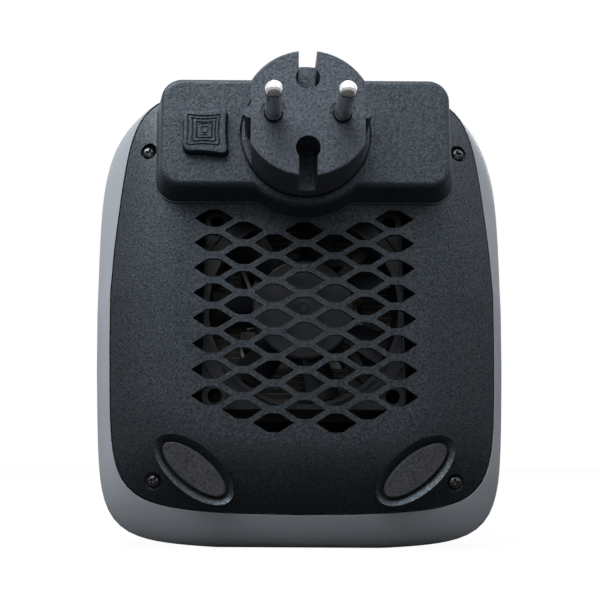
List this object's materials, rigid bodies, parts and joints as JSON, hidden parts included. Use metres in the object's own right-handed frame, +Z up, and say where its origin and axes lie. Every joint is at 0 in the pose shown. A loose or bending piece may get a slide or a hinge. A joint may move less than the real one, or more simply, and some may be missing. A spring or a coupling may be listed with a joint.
{
  "type": "plug-in fan heater",
  "caption": "Small fan heater that plugs straight into a wall socket: swivelling mains plug, push button, air holes in a domed back cover, outlet grille at the front.",
  "frame": {"origin": "middle of the bottom of the heater's box, plug pins included", "axes": "+Z up, -Y out of the front where the warm air leaves, +Y along the plug pins towards the wall, +X towards the side of the power button"},
  "size_m": [0.1272, 0.1044, 0.1405],
  "materials": {
    "grey_shell": "fine satin grain",
    "matte_black": "fine spark texture",
    "soft_black": "satin",
    "pad_rubber": "dull",
    "window": "polished, smoked",
    "nickel": "bright nickel plate",
    "steel": "zinc plated",
    "brass": "plain",
    "copper": "enamelled copper winding",
    "aluminium": "rolled foil",
    "board": "solder mask",
    "relay": "moulded",
    "mica": "mica and phenolic sheet",
    "ceramic": "fired ceramic",
    "lead_red": "silicone sleeve",
    "lead_brown": "wire insulation",
    "lead_blue": "wire insulation"
  },
  "bodies": {
    "heater_body": {"front_housing": "grey_shell", "front_grille": "soft_black", "display_window": "window", "display_board": "board", "digit_display": "soft_black", "power_board": "board", "relay": "relay", "terminal_block": "relay", "capacitor": "soft_black", "power_board_screw_left": "steel", "power_board_screw_right": "steel", "board_link": "soft_black", "heater_frame": "soft_black", "frame_screw_left": "steel", "frame_screw_right": "steel", "fan_screw_left": "steel", "fan_screw_right": "steel", "heating_bar_1": "ceramic", "heating_bar_2": "ceramic", "heater_fins_1": "aluminium", "heater_fins_2": "aluminium", "heater_fins_3": "aluminium", "element_carrier_back": "mica", "element_carrier_front": "mica", "thermal_cutout": "aluminium", "thermal_fuse": "steel", "back_cover": "matte_black", "case_screw_top_left": "steel", "case_screw_top_right": "steel", "case_screw_bottom_left": "steel", "case_screw_bottom_right": "steel", "foot_pad_left": "pad_rubber", "foot_pad_right": "pad_rubber", "switch_box": "matte_black", "box_screw_top": "steel", "box_screw_bottom": "steel", "power_switch": "soft_black", "contact_carrier": "mica", "slip_ring_outer": "brass", "slip_ring_inner": "brass", "fan_frame": "soft_black", "fan_stator": "copper", "fan_bearing": "brass", "live_lead": "lead_brown", "neutral_lead": "lead_blue", "switched_lead": "lead_brown", "heater_lead_left": "lead_red", "heater_lead_right": "lead_red", "fan_lead": "lead_red"},
    "plug": {"plug_body": "soft_black", "plug_pin_left": "nickel", "plug_pin_right": "nickel"},
    "power_button": {"power_button": "soft_black"},
    "button_lower": {"button_lower": "soft_black"},
    "button_mode": {"button_mode": "soft_black"},
    "button_raise": {"button_raise": "soft_black"},
    "fan_rotor": {"fan_impeller": "soft_black", "fan_magnet": "steel", "fan_shaft": "steel"}
  },
  "joints": [
    {"name": "plug_swivel", "type": "hinge", "parent": "heater_body", "child": "plug", "pos_m": [0, 0.0332, 0.1182], "axis": [0, 1, 0], "range_deg": [-90, 90]},
    {"name": "power_button_press", "type": "slide", "parent": "heater_body", "child": "power_button", "axis": [0, -1, 0], "range_m": [0, 0.002], "stiffness_N_per_m": 1000, "springref_m": -0.001},
    {"name": "button_lower_press", "type": "slide", "parent": "heater_body", "child": "button_lower", "axis": [0, 1, 0], "range_m": [0, 0.0005], "stiffness_N_per_m": 2000, "springref_m": -0.0003},
    {"name": "button_mode_press", "type": "slide", "parent": "heater_body", "child": "button_mode", "axis": [0, 1, 0], "range_m": [0, 0.0005], "stiffness_N_per_m": 2000, "springref_m": -0.0003},
    {"name": "button_raise_press", "type": "slide", "parent": "heater_body", "child": "button_raise", "axis": [0, 1, 0], "range_m": [0, 0.0005], "stiffness_N_per_m": 2000, "springref_m": -0.0003},
    {"name": "fan_spin", "type": "hinge", "parent": "heater_body", "child": "fan_rotor", "pos_m": [0, -0.0041, 0.0697], "axis": [0, 1, 0], "continuous": true}
  ]
}
